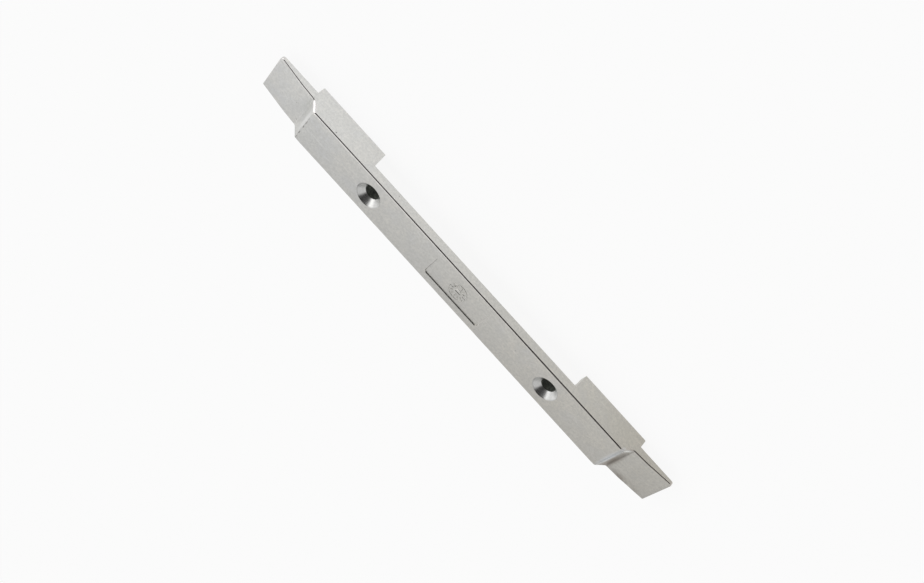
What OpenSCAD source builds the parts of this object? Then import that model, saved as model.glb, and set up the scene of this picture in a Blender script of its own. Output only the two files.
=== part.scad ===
// Slim espagnolette gearbox: a die-cast bar that is fixed by two countersunk screws.
// A handle's fork pushes the upper slide, and a rack and pinion sends the lower slide the other way.
// X runs along the bar towards the lower end, Y across it, and Z up from the feet of the lugs
// to the front face. The origin is below the middle of the bar, level with the feet.

/* [Face plate] */
// Width of the bar
bar_w = 16; // [15:0.5:18]
// Thickness of the face plate
plate_t = 3.4; // [3:0.1:4]
// Length over which the face steps down before the end of the lug
step_len = 3.8; // [3.4:0.1:5]
// How far the foot of that step reaches past the lug
step_past = 2.5; // [1.5:0.1:3]
// Length of the concave foot of that step
step_foot = 4; // [3:0.1:4.4]
// Height of the concave foot of that step
step_rise = 0.9; // [0.5:0.1:1.2]
// Distance between the two fixing holes
hole_spacing = 80; // [76:1:84]
// Diameter of the fixing holes
hole_d = 5.2; // [4.6:0.1:5.6]
// Diameter of the countersinks at the face
sink_d = 9.2; // [8:0.1:10.4]

/* [Label field] */
// Length of the recessed label field
label_len = 23.4; // [16:0.2:30]
// Width of the label field
label_w = 9.6; // [6:0.2:11]
// Depth of the label field
label_depth = 0.3; // [0.2:0.05:0.8]
// Corner radius of the label field
label_r = 0.9; // [0.4:0.1:2]

/* [Lugs and tongues] */
// Clear distance between the two pairs of lugs
lug_gap = 90.6; // [88:0.2:96]
// Length of each lug along the bar
lug_len = 27.5; // [26:0.5:32]
// Thickness of the lugs on the outer long side
lug_outer_t = 3.2; // [2.6:0.1:3.6]
// Thickness of the lugs on the inner long side
lug_inner_t = 1.5; // [1.2:0.1:1.8]
// Draft of each lug's inner end over its height
lug_draft = 0.25; // [0:0.05:0.6]
// Radius where a lug's outer end meets the back of its tongue
lug_root_r = 1.2; // [0.4:0.1:2]
// Length of each tongue beyond its lug
tongue_len = 15.2; // [12:0.2:20]
// Thickness of a tongue at its tip
tongue_tip_t = 1.15; // [0.8:0.05:2]
// Radius of the outer corner of a tongue's tip, seen from the front
tip_r = 1.2; // [0.5:0.1:3]

/* [Spine] */
// Depth of the spine and end blocks behind the face plate
block_t = 2.75; // [2.5:0.05:3.5]
// How far the spine reaches from the centre line towards the outer long side
spine_reach = 3.5; // [3.4:0.1:4]
// Wall left in front of the fork window
window_wall = 1.5; // [1.2:0.1:2]

/* [Drive] */
// Stroke of each slide
stroke = 15; // [13:0.5:16]
// Thickness of the slides
slide_t = 1.9; // [1.6:0.1:2.4]
// Width of a slide's end
slide_end_w = 8; // [7:0.2:8.4]
// Width of the web that joins a slide's rack to its neck
web_w = 2.4; // [2:0.1:3]
// Diameter of the hole for a connecting rod
rod_hole_d = 4.2; // [3:0.1:5]
// Distance from a slide's tip to the rod hole
rod_hole_edge = 4; // [3:0.1:5]
// Gear module
gear_module = 0.5; // [0.48:0.01:0.52]
// Number of teeth of the pinion
pinion_teeth = 8; // [8:1:8]
// Thickness of the pinion
pinion_t = 1.6; // [1.2:0.1:1.7]
// Place of the pinion's axis across the bar
pinion_y = -3.3; // [-3.4:0.05:-3.2]
// Diameter of the pinion's axle
axle_d = 1.8; // [1.6:0.1:1.9]
// Width of the lower slide's rack behind its teeth
rack_back_w = 1.25; // [1:0.05:1.3]

/* [Fork block] */
// Length of the fork block
fork_len = 15; // [13:0.5:18]
// Distance between the two fork sockets
fork_spacing = 9; // [8:0.2:10]
// Diameter of a fork socket
fork_d = 3.2; // [2.6:0.1:3.4]
// Depth of a fork socket
fork_depth = 2.2; // [1.6:0.1:2.4]
// Diameter of the fork block's rivets
rivet_d = 1.0; // [0.8:0.1:1.2]

/* [Cover, stops and guides] */
// Thickness of the gear cover
cover_t = 0.6; // [0.5:0.05:0.8]
// Length of the gear cover
cover_len = 60; // [44:1:68]
// Distance between the two cover screws
cover_screw_spacing = 18; // [14:1:22]
// Diameter of the posts that carry the cover
post_d = 2.6; // [2.2:0.1:2.8]
// Shank diameter of a cover screw
cover_screw_d = 1.4; // [1.2:0.1:1.6]
// Diameter of a stop pin
stop_pin_d = 2; // [1.6:0.1:2.2]
// Outer diameter of a stop bush
stop_bush_d = 3.2; // [2.8:0.1:3.6]
// Thickness of an end guide's floor
guide_floor_t = 0.7; // [0.5:0.05:0.8]
// Diameter of the brake ball
ball_d = 2; // [1.8:0.1:2.2]
// How deep the ball dips into its groove
ball_dip = 0.4; // [0.3:0.05:0.5]
// Wire diameter of the brake spring
spring_wire = 0.3; // [0.2:0.05:0.35]
// Turns of the brake spring
spring_turns = 6; // [4:1:7]
// Diameter of a slide's glide pad
pad_d = 3.4; // [2.4:0.1:4]
// Wall of a screw bush
bush_wall = 0.45; // [0.35:0.05:0.5]

/* [Clearances] */
// Gap above the slides
slide_gap = 0.15; // [0.1:0.05:0.2]
// Gap between the slides and the cover
cover_gap = 0.1; // [0.1:0.05:0.2]
// Gap between the cover and the plane that the feet stand on
foot_gap = 0.3; // [0.2:0.05:0.5]
// Gap beside a piece that slides
side_gap = 0.2; // [0.1:0.05:0.3]
// Radial clearance of a shaft that turns
run_fit = 0.05; // [0.02:0.01:0.08]
// Radial clearance of a piece that is pushed in
push_fit = 0.02; // [0.01:0.01:0.03]
// Backlash that each toothed piece gives up
backlash = 0.06; // [0.04:0.01:0.1]

/* [Hidden] */
$fn = 64;
over = 1;

// Heights
cover_z = foot_gap;
slide_z = cover_z + cover_t + cover_gap;
slide_top = slide_z + slide_t;
block_z = slide_top + slide_gap;
plate_z = block_z + block_t;
face_z = plate_z + plate_t;
window_top = face_z - window_wall;

// Places along the bar
side_y = bar_w / 2;
lug_in = lug_gap / 2;
lug_out = lug_in + lug_len;
tip_x = lug_out + tongue_len;
face_x = lug_out - step_len;
foot_out = lug_out + step_past;
hole_x = hole_spacing / 2;
hole_r = hole_d / 2;

// Screw bushes are pushed in from the back as far as the countersink
sink_depth = (sink_d - hole_d) / 2;
bush_seat_z = face_z - sink_depth;
bush_r = hole_r + bush_wall;

// Channel between the lugs
channel_low = -side_y + lug_inner_t;
channel_high = side_y - lug_outer_t;
channel_y = (channel_low + channel_high) / 2;

// Gear geometry
pressure_angle = 25;
tooth_pitch = PI * gear_module;
pitch_r = gear_module * pinion_teeth / 2;
base_r = pitch_r * cos(pressure_angle);
pinion_addendum = 0.8 * gear_module;
rack_addendum = 0.68 * gear_module;
dedendum = 1.1 * gear_module;
pinion_tip_r = pitch_r + pinion_addendum;
pinion_root_r = pitch_r - dedendum;

// Slides, given for the end that each moves towards
edge_gap = 0.1;
rack_run_out = 2.2;
tail_len = stroke + rack_run_out;
rack_teeth_n = floor((tail_len + rack_run_out) / tooth_pitch);
upper_rack_y = pinion_y - pitch_r;
lower_rack_y = pinion_y + pitch_r;
upper_back_y = -side_y + edge_gap;
lower_back_y = lower_rack_y + dedendum + rack_back_w;
screw_gap = 0.5;
neck_low = channel_low + side_gap + edge_gap;
neck_high = -hole_r - screw_gap;
tail_gap = 0.8;
web_in = tail_len + tail_gap;
web_out = web_in + web_w;
wide_in = lug_in + 0.7;
neck_end = wide_in + 1;
slide_tip = tip_x - 3;
slide_corner = 2;
rod_hole_x = slide_tip - rod_hole_edge;
slot_wall = 2;
stop_r = stop_bush_d / 2;
stop_x = wide_in + slot_wall + stop_r + side_gap / 2 + stroke;

// Glide pads sit in the slides between the slot and the rod hole
pad_x = (stop_x + stop_r + rod_hole_x - rod_hole_d / 2) / 2;

// End guides start where the neck never reaches
guide_in = neck_end + stroke + 0.6;
guide_out = lug_out - 0.5;
guide_z = 0.1;

// Fork block
fork_x = stroke / 2;
fork_low = upper_back_y;
fork_high = pinion_y - axle_d / 2 - 0.8;
fork_top = window_top - side_gap;
fork_socket_z = (block_z + fork_top) / 2;
rivet_y = (upper_back_y + upper_rack_y - dedendum) / 2;
rivet_spacing = 3.2;
rivet_top = block_z + 2;
window_half = (stroke + fork_len) / 2 + 0.5;

// Brake ball, pressed into a groove of the lower slide
ball_x = neck_end - 4;
ball_y = (neck_low + neck_high) / 2;
ball_z = slide_top - ball_dip + ball_d / 2;
groove_depth = ball_dip + 0.1;
groove_r = ball_d / 2 - 0.05;
pocket_top = window_top - 0.2;
pocket_r = ball_d / 2 + 0.08;

die_cast = [0.70, 0.70, 0.69];
zinc_plate = [0.78, 0.77, 0.72];
bright_steel = [0.62, 0.63, 0.65];
black_nylon = [0.07, 0.08, 0.08];
grey_nylon = [0.35, 0.36, 0.37];
brass_yellow = [0.76, 0.62, 0.30];

// Places and mirrors its children for each end of the bar: -1 is the upper end, 1 the lower end
module at_end(end) {
    mirror([end < 0 ? 1 : 0, 0, 0]) children();
}

module at_both_ends() {
    for (end = [-1, 1]) at_end(end) children();
}

// A block given by its lowest and highest corners
module block(low, high) {
    translate(low) cube(high - low);
}

// A flat plate with round corners, centred on X and Y
module round_plate(len, wid, r, t) {
    linear_extrude(t) {
        square([len - 2 * r, wid], center = true);
        square([len, wid - 2 * r], center = true);
        for (x = [-1, 1], y = [-1, 1]) {
            translate([x * (len / 2 - r), y * (wid / 2 - r)]) circle(r);
        }
    }
}

// A slot with round ends along X
module slot(x_in, x_out, r, z, t) {
    translate([0, 0, z]) linear_extrude(t) {
        translate([x_in, -r]) square([x_out - x_in, 2 * r]);
        translate([x_in, 0]) circle(r);
        translate([x_out, 0]) circle(r);
    }
}

// Point on the concave foot of the step, from its top at t = 0 to the tongue at t = 1
function foot_point(t) =
    let (top = [foot_out - step_foot, plate_z + step_rise])
    let (corner = [top[0] + step_rise * (top[0] - face_x) / (plate_t - step_rise), plate_z])
    let (bottom = [foot_out, plate_z])
    (1 - t) * (1 - t) * top + 2 * t * (1 - t) * corner + t * t * bottom;

// Side view of half the casting: face, step, wedge tongue, end block and the plate's back
function half_profile() = concat(
    [[0, face_z], [face_x, face_z]],
    [for (i = [0:6]) foot_point(i / 6)],
    [[tip_x, block_z + tongue_tip_t], [tip_x, block_z], [lug_in, block_z], [lug_in, plate_z], [0, plate_z]]
);

module casting_bar() {
    intersection() {
        rotate([90, 0, 0]) linear_extrude(bar_w, center = true) {
            polygon(half_profile());
            mirror([1, 0]) polygon(half_profile());
        }
        union() {
            round_plate(2 * tip_x, bar_w, tip_r, face_z + over);
            block([-tip_x, -side_y, 0], [tip_x, 0, face_z + over]);
        }
    }
}

// Side view of a lug, with draft at its inner end and a fillet at the root of its outer end
function lug_profile() = concat(
    [[lug_in, plate_z], [lug_in + lug_draft, 0], [lug_out, 0]],
    [for (i = [0:6]) let (a = 180 - 15 * i)
        [lug_out + lug_root_r * (1 + cos(a)), block_z - lug_root_r * (1 - sin(a))]],
    [[lug_out + lug_root_r, block_z + tongue_tip_t], [lug_out, plate_z]]
);

module lug(y_low, y_high) {
    translate([0, y_high, 0]) rotate([90, 0, 0]) linear_extrude(y_high - y_low) polygon(lug_profile());
}

module fixing_hole() {
    translate([hole_x, 0, 0]) {
        translate([0, 0, -over]) cylinder(h = face_z + 2 * over, r = hole_r);
        translate([0, 0, -over]) cylinder(h = bush_seat_z + over, r = bush_r + push_fit);
        translate([0, 0, face_z - sink_depth]) {
            cylinder(h = sink_depth + over, r1 = hole_r, r2 = sink_d / 2 + over);
        }
    }
}

module housing() {
    color(die_cast) difference() {
        union() {
            casting_bar();
            block([-lug_in - over, -side_y, block_z], [lug_in + over, spine_reach, plate_z + over]);
            at_both_ends() {
                lug(channel_high, side_y);
                lug(-side_y, channel_low);
                translate([cover_screw_spacing / 2, pinion_y, slide_z - cover_gap]) {
                    cylinder(h = block_z - slide_z + cover_gap + over, r = post_d / 2);
                }
            }
        }
        at_both_ends() {
            fixing_hole();
            translate([stop_x, channel_y, block_z - over]) {
                cylinder(h = block_t - 0.5 + over, r = stop_pin_d / 2 + push_fit);
            }
            translate([cover_screw_spacing / 2, pinion_y, cover_z]) {
                cylinder(h = plate_z - cover_z - 0.5, r = cover_screw_d / 2 + push_fit);
            }
        }
        translate([0, 0, face_z - label_depth]) round_plate(label_len, label_w, label_r, label_depth + over);
        block([-window_half, -side_y - over, block_z - over], [window_half, fork_high + edge_gap, window_top]);
        translate([0, pinion_y, block_z - over]) {
            cylinder(h = block_t - 0.5 + over, r = axle_d / 2 + push_fit);
        }
        translate([ball_x, ball_y, block_z - over]) cylinder(h = pocket_top - block_z + over, r = pocket_r);
    }
}

module screw_bush() {
    color(black_nylon) translate([hole_x, 0, block_z]) difference() {
        cylinder(h = bush_seat_z - block_z, r = bush_r);
        translate([0, 0, -over]) cylinder(h = face_z, r = hole_r);
    }
}

// A flat piece of a slide, given by its lowest and highest corners
module slab(low, high) {
    translate(low) cube([high[0] - low[0], high[1] - low[1], slide_t]);
}

// One tooth of a rack, pointing to +Y from the root line
module rack_tooth() {
    half = (tooth_pitch / 2 - backlash) / 2;
    root_half = half + dedendum * tan(pressure_angle);
    tip_half = half - rack_addendum * tan(pressure_angle);
    sunk = 0.3;
    linear_extrude(slide_t) {
        polygon([[-root_half, -dedendum], [-tip_half, rack_addendum], [tip_half, rack_addendum],
            [root_half, -dedendum], [root_half, -dedendum - sunk], [-root_half, -dedendum - sunk]]);
    }
}

// The row of teeth, on its pitch line, with a gap for the pinion's tooth at x = 0
module rack_teeth() {
    first = floor(rack_run_out / tooth_pitch);
    for (i = [0:rack_teeth_n - 1]) {
        translate([(first - i - 0.5) * tooth_pitch, 0, 0]) rack_tooth();
    }
}

// Neck and end of a slide that moves towards +X
module slide_end() {
    end_low = channel_y - slide_end_w / 2;
    end_high = channel_y + slide_end_w / 2;
    slab([web_in, neck_low], [neck_end, neck_high]);
    slab([wide_in, neck_low], [neck_end, channel_y]);
    slab([wide_in, end_low], [slide_tip - slide_corner, end_high]);
    slab([wide_in, end_low + slide_corner], [slide_tip, end_high - slide_corner]);
    for (y = [end_low + slide_corner, end_high - slide_corner]) {
        translate([slide_tip - slide_corner, y, 0]) cylinder(h = slide_t, r = slide_corner);
    }
}

module slide_cuts() {
    slot_in = wide_in + slot_wall + stop_r;
    translate([0, channel_y, 0]) slot(slot_in, stop_x, stop_r + side_gap / 2, slide_z - over, slide_t + 2 * over);
    translate([rod_hole_x, channel_y, slide_z - over]) cylinder(h = slide_t + 2 * over, d = rod_hole_d);
    translate([pad_x, channel_y, slide_z - over]) {
        cylinder(h = slide_t + 2 * over, r = pad_d / 2 + push_fit);
    }
}

module upper_slide() {
    color(bright_steel) difference() {
        translate([0, 0, slide_z]) {
            mirror([1, 0, 0]) slide_end();
            slab([-web_out, upper_back_y], [tail_len, upper_rack_y - dedendum]);
            slab([-web_out, upper_back_y], [-web_in, neck_high]);
            mirror([1, 0, 0]) translate([0, upper_rack_y, 0]) rack_teeth();
        }
        mirror([1, 0, 0]) slide_cuts();
        fork_rivet_places() {
            translate([0, 0, slide_z - over]) cylinder(h = slide_t + 2 * over, r = rivet_d / 2 + push_fit);
        }
    }
}

module lower_slide() {
    color(bright_steel) difference() {
        translate([0, 0, slide_z]) {
            slide_end();
            slab([-tail_len, lower_back_y - rack_back_w], [web_out, lower_back_y]);
            slab([web_in, neck_low], [web_out, lower_back_y]);
            translate([0, lower_rack_y, 0]) mirror([0, 1, 0]) rack_teeth();
        }
        slide_cuts();
        translate([0, ball_y, 0]) {
            slot(ball_x - stroke, ball_x, groove_r, slide_top - groove_depth, groove_depth + over);
        }
    }
}

module fork_rivet_places() {
    for (side = [-1, 1]) translate([fork_x + side * rivet_spacing / 2, rivet_y, 0]) children();
}

module fork_block() {
    color(zinc_plate) difference() {
        block([fork_x - fork_len / 2, fork_low, slide_top], [fork_x + fork_len / 2, fork_high, fork_top]);
        for (side = [-1, 1]) {
            translate([fork_x + side * fork_spacing / 2, fork_low + fork_depth, fork_socket_z]) {
                rotate([90, 0, 0]) cylinder(h = fork_depth + over, d = fork_d);
            }
        }
        fork_rivet_places() {
            translate([0, 0, slide_top - over]) cylinder(h = rivet_top - slide_top + over, r = rivet_d / 2 + push_fit);
        }
    }
}

module fork_block_rivets() {
    color(bright_steel) fork_rivet_places() {
        translate([0, 0, slide_z]) cylinder(h = rivet_top - slide_z, d = rivet_d);
    }
}

// Involute function of the angle whose cosine is base_r / r, in degrees
function involute(r) =
    let (a = acos(min(1, base_r / r)))
    tan(a) * 180 / PI - a;

// Half the angle that a pinion tooth takes at radius r
function tooth_half_angle(r) =
    (tooth_pitch / 2 - backlash) / (2 * pitch_r) * 180 / PI + involute(pitch_r) - involute(max(r, base_r));

// Outline of one pinion tooth that points along angle a
function pinion_tooth(a) =
    let (steps = 5)
    let (radii = concat([pinion_root_r], [for (i = [0:steps]) base_r + (pinion_tip_r - base_r) * i / steps]))
    concat(
        [for (r = radii) r * [cos(a - tooth_half_angle(r)), sin(a - tooth_half_angle(r))]],
        [for (i = [steps + 1:-1:0]) let (r = radii[i]) r * [cos(a + tooth_half_angle(r)), sin(a + tooth_half_angle(r))]]
    );

module pinion() {
    color(brass_yellow) translate([0, pinion_y, slide_z]) difference() {
        linear_extrude(pinion_t) {
            polygon([for (k = [0:pinion_teeth - 1]) each pinion_tooth(90 + k * 360 / pinion_teeth)]);
        }
        translate([0, 0, -over]) cylinder(h = pinion_t + 2 * over, r = axle_d / 2 + run_fit);
    }
}

module pinion_axle() {
    color(bright_steel) translate([0, pinion_y, cover_z]) {
        cylinder(h = plate_z - 0.5 - cover_z, d = axle_d);
    }
}

module axle_washer() {
    washer_r = pitch_r - rack_addendum - side_gap;
    color(zinc_plate) translate([0, pinion_y, slide_z + pinion_t + run_fit]) difference() {
        cylinder(h = block_z - slide_z - pinion_t - run_fit, r = washer_r);
        translate([0, 0, -over]) cylinder(h = slide_t + 2 * over, r = axle_d / 2 + push_fit);
    }
}

module gear_cover() {
    color(zinc_plate) difference() {
        block([-cover_len / 2, upper_back_y, cover_z], [cover_len / 2, -side_gap - foot_gap, cover_z + cover_t]);
        at_both_ends() translate([cover_screw_spacing / 2, pinion_y, cover_z]) {
            translate([0, 0, -over]) cylinder(h = cover_t + 2 * over, r = cover_screw_d / 2 + push_fit);
            cylinder(h = cover_t, r1 = cover_screw_d / 2 + cover_t, r2 = cover_screw_d / 2 + push_fit);
        }
        translate([0, pinion_y, cover_z - over]) {
            cylinder(h = cover_t + 2 * over, r = axle_d / 2 + push_fit);
        }
    }
}

module cover_screws() {
    drive_depth = 0.35;
    color(bright_steel) at_both_ends() translate([cover_screw_spacing / 2, pinion_y, cover_z]) difference() {
        union() {
            cylinder(h = cover_t, r1 = cover_screw_d / 2 + cover_t - push_fit, r2 = cover_screw_d / 2);
            cylinder(h = plate_z - cover_z - 1, d = cover_screw_d);
        }
        for (turn = [0, 90]) rotate([0, 0, turn]) {
            cube([cover_screw_d, cover_screw_d / 5, 2 * drive_depth], center = true);
        }
    }
}

module stop_pins() {
    color(bright_steel) at_both_ends() translate([stop_x, channel_y, guide_z]) {
        cylinder(h = plate_z - 0.5 - guide_z, d = stop_pin_d);
    }
}

module stop_bushes() {
    floor_z = guide_z + guide_floor_t;
    color(brass_yellow) at_both_ends() translate([stop_x, channel_y, floor_z]) difference() {
        cylinder(h = block_z - floor_z, r = stop_r);
        translate([0, 0, -over]) cylinder(h = block_z + over, r = stop_pin_d / 2 + push_fit);
    }
}

// U-shaped guide that fills the channel between the lugs and carries the end of a slide
module end_guide() {
    trough = slide_end_w / 2 + side_gap;
    color(black_nylon) difference() {
        block([guide_in, channel_low + edge_gap, guide_z], [guide_out, channel_high - edge_gap, block_z]);
        block([guide_in - over, channel_y - trough, guide_z + guide_floor_t],
            [guide_out + over, channel_y + trough, block_z + over]);
        translate([stop_x, channel_y, guide_z - over]) {
            cylinder(h = guide_floor_t + 2 * over, r = stop_pin_d / 2 + push_fit);
        }
    }
}

// Nylon button that stands slightly proud of the slide, so that the slide doesn't rattle
module glide_pad() {
    color(black_nylon) translate([pad_x, channel_y, slide_z - cover_gap / 2]) {
        cylinder(h = slide_t + cover_gap / 2 + slide_gap / 2, d = pad_d);
    }
}

module brake_ball() {
    color(bright_steel) translate([ball_x, ball_y, ball_z]) rotate_extrude() {
        intersection() {
            circle(ball_d / 2);
            translate([0, -ball_d]) square([ball_d, 2 * ball_d]);
        }
    }
}

// A coil of round wire: centre of the wire after a number of turns from its lower end
spring_r = ball_d / 2 - spring_wire;
spring_low = ball_z + ball_d / 2 + spring_wire / 2;
spring_high = pocket_top - spring_wire / 2 - 0.05;
function spring_point(turn) = [
    spring_r * cos(360 * turn),
    spring_r * sin(360 * turn),
    spring_low + (spring_high - spring_low) * turn / spring_turns
];

module brake_spring() {
    sides = 6;
    per_turn = 16;
    rings = per_turn * spring_turns;
    points = [for (i = [0:rings], k = [0:sides - 1])
        let (turn = i / per_turn)
        let (out = [cos(360 * turn), sin(360 * turn), 0])
        spring_point(turn) + spring_wire / 2 * (cos(360 * k / sides) * out + [0, 0, sin(360 * k / sides)])];
    walls = [for (i = [0:rings - 1], k = [0:sides - 1])
        let (next = (k + 1) % sides)
        [i * sides + k, (i + 1) * sides + k, (i + 1) * sides + next, i * sides + next]];
    start = [for (k = [0:sides - 1]) k];
    end = [for (k = [sides - 1:-1:0]) rings * sides + k];
    color(bright_steel) translate([ball_x, ball_y, 0]) polyhedron(points, concat(walls, [start, end]));
}

housing();
at_end(-1) screw_bush();  // upper_screw_bush
at_end(1) screw_bush();  // lower_screw_bush
upper_slide();
lower_slide();
fork_block();
fork_block_rivets();
pinion();
pinion_axle();
axle_washer();
gear_cover();
cover_screws();
stop_pins();
stop_bushes();
at_end(-1) end_guide();  // upper_end_guide
at_end(1) end_guide();  // lower_end_guide
at_end(-1) glide_pad();  // upper_glide_pad
at_end(1) glide_pad();  // lower_glide_pad
brake_ball();
brake_spring();
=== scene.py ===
# %% [markdown]
# # A slim espagnolette gearbox
# The real object is a bar of die-cast zinc that is let into a window's profile and held by two
# countersunk screws. Behind it, a rack and pinion moves two flat slides apart. Its sizes and its
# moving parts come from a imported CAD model, which is loaded as a fixed frame. This file gives every
# piece its finish and its small forms: rounded casting edges, stamped edges, turned grooves. Lengths
# are written in mm and multiplied by MM, because Blender works in metres.

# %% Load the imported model
import math

import bmesh
import bpy
from mathutils import Matrix, Vector


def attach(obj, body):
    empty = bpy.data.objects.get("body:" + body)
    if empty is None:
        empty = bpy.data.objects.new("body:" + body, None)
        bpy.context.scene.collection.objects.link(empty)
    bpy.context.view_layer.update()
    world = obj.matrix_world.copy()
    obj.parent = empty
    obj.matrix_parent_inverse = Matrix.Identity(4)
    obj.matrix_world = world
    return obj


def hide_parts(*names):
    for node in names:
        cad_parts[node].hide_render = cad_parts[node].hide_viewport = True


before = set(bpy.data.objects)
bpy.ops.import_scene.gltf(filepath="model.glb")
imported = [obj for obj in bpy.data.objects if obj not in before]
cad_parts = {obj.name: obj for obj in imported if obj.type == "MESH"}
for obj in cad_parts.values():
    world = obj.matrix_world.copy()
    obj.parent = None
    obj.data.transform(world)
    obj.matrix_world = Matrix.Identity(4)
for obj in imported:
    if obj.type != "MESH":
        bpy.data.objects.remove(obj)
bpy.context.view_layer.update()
MM = 0.001

# %% [markdown]
# ## Helpers for node trees
# Shader trees and Geometry Nodes trees are both lists of nodes whose inputs hold a value or a link.
# One helper that takes either keeps each tree down to a line for each node, in the order of the work.

# %% Add a node and fill its inputs
def add(tree, kind, inputs=None, **settings):
    made = tree.nodes.new(kind)
    for key, value in settings.items():
        setattr(made, key, value)
    for key, value in (inputs or {}).items():
        if isinstance(value, bpy.types.NodeSocket):
            tree.links.new(value, made.inputs[key])
        else:
            made.inputs[key].default_value = value
    return made


def math_node(tree, operation, *values):
    return add(tree, "ShaderNodeMath", dict(enumerate(values)), operation=operation).outputs[0]


# %% [markdown]
# ## Helpers for meshes
# Modifiers and node trees make the forms here, but what is kept of each piece is a plain mesh, so that
# the exported model is the one in the picture. A form that is built corner by corner is made in a
# bmesh, and a closed one has its faces turned outwards before it becomes an object. A CAD node comes
# as loose triangles: a copy of it is merged, and its flat areas are joined, before it is worked on.

# %% From a bmesh or a modifier to a plain mesh
def link(piece):
    bpy.context.scene.collection.objects.link(piece)
    return piece


def to_object(form, name, finishes=()):
    mesh = bpy.data.meshes.new(name)
    form.to_mesh(mesh)
    form.free()
    for material in finishes:
        mesh.materials.append(material)
    return link(bpy.data.objects.new(name, mesh))


def to_closed_object(form, name, finishes=()):
    bmesh.ops.recalc_face_normals(form, faces=form.faces)
    return to_object(form, name, finishes)


def make_plain(piece):
    graph = bpy.context.evaluated_depsgraph_get()
    mesh = bpy.data.meshes.new_from_object(piece.evaluated_get(graph))
    piece.modifiers.clear()
    piece.data = mesh
    mesh.name = piece.name
    return piece


def shade_by_angle(piece, degrees=35):
    piece.data.polygons.foreach_set("use_smooth", [True] * len(piece.data.polygons))
    piece.data.set_sharp_from_angle(angle=math.radians(degrees))


# %% Copy a CAD node as whole faces
MERGE_DISTANCE, FLAT_WITHIN = 0.001 * MM, math.radians(0.5)


def whole_faces(node, name):
    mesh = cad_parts[node].data.copy()
    mesh.materials.clear()
    form = bmesh.new()
    form.from_mesh(mesh)
    bmesh.ops.remove_doubles(form, verts=form.verts, dist=MERGE_DISTANCE)
    bmesh.ops.dissolve_limit(form, angle_limit=FLAT_WITHIN, verts=form.verts, edges=form.edges)
    form.to_mesh(mesh)
    form.free()
    mesh.attributes.remove(mesh.attributes["custom_normal"])
    print(name, "has", len(mesh.polygons), "faces after its flat areas are joined")
    return link(bpy.data.objects.new(name, mesh))


# %% Blocks, cuts, and what a piece stands for
def add_block(form, low, high):
    """A closed block between two rings of points in mm that have as many corners each."""
    rings = [[form.verts.new(Vector(point) * MM) for point in ring] for ring in (low, high)]
    for ring in rings:
        form.faces.new(ring)
    for k in range(len(low)):
        n = (k + 1) % len(low)
        form.faces.new([rings[0][k], rings[0][n], rings[1][n], rings[1][k]])


def cut(piece, tool, operation="DIFFERENCE"):
    modifier = piece.modifiers.new(operation, "BOOLEAN")
    modifier.operation, modifier.solver, modifier.object = operation, "EXACT", tool
    make_plain(piece)
    bpy.data.objects.remove(tool)


def settle(piece, body, slot, *nodes):
    """Says which body a piece moves with, and the CAD nodes that it replaces; the slot is not used."""
    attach(piece, body)
    if nodes:
        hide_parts(*nodes)
    print(piece.name, "rides on", body, "with", len(piece.data.polygons), "faces")


# %% [markdown]
# ## Helpers for materials
# Every finish here is one Principled shader whose tint, roughness and bump come from noise, so that it
# can be seen from any side. Noise is given by the size of its grains in mm. Everything reads Object
# coordinates, which are in metres and don't move with the camera, so each grain keeps its real size.

# %% Start and end a material
def new_material(name):
    material = bpy.data.materials.new(name)
    material.use_nodes = True
    tree = material.node_tree
    tree.nodes.clear()
    shader = add(tree, "ShaderNodeBsdfPrincipled")
    add(tree, "ShaderNodeOutputMaterial", {"Surface": shader.outputs[0]})
    return material, tree, shader, add(tree, "ShaderNodeTexCoord").outputs["Object"]


def end_material(material, shader, tint, roughness, normal, metallic=1.0):
    links = material.node_tree.links
    links.new(tint, shader.inputs["Base Color"])
    links.new(roughness, shader.inputs["Roughness"])
    links.new(normal, shader.inputs["Normal"])
    shader.inputs["Metallic"].default_value = metallic
    print(material.name, "is made of", len(material.node_tree.nodes), "nodes")
    return material


# %% Noise, ramps, blends and bumps
def noise(tree, place, size_mm, detail=2.0, roughness=0.5):
    inputs = {"Vector": place, "Scale": 1 / (size_mm * MM), "Detail": detail, "Roughness": roughness}
    return add(tree, "ShaderNodeTexNoise", inputs).outputs["Fac"]


def ramp(tree, value, low, high, to_low=0.0, to_high=1.0):
    inputs = {"Value": value, "From Min": low, "From Max": high, "To Min": to_low, "To Max": to_high}
    return add(tree, "ShaderNodeMapRange", inputs).outputs["Result"]


def blend(tree, factor, first, second, kind="MIX"):
    inputs = {0: factor, 6: first, 7: second}
    return add(tree, "ShaderNodeMix", inputs, data_type="RGBA", blend_type=kind).outputs[2]


def bump(tree, height, depth_mm, strength=1.0):
    inputs = {"Height": height, "Distance": depth_mm * MM, "Strength": strength}
    return add(tree, "ShaderNodeBump", inputs).outputs["Normal"]


def stretched(tree, place, share):
    """Coordinates that draw a pattern out along the bar: the smaller the share, the longer it gets."""
    return add(tree, "ShaderNodeMapping", {"Vector": place, "Scale": (share, 1, 1)}).outputs[0]


def darker(colour, share):
    return [channel * share for channel in colour[:3]] + [1]


# %% [markdown]
# ## The finish of the zinc casting
# A tumbled zinc casting is satin grey. Up close it is mottled: fine grain from the die's skin, cloudy
# patches where the metal cooled unevenly, and a few dark pits. The patches are slow noise that tints
# the colour, the grain is fast noise that moves roughness and bump, and the pits are rare Voronoi
# cells. Hairline scratches are noise drawn out along the bar.

# %% Clouds, patches, grain and scratches
CLOUD, BLOOM, PATCH, MOTTLE, GRAIN, SCRATCH = 14, 8, 4, 0.9, 0.35, 0.45


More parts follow.
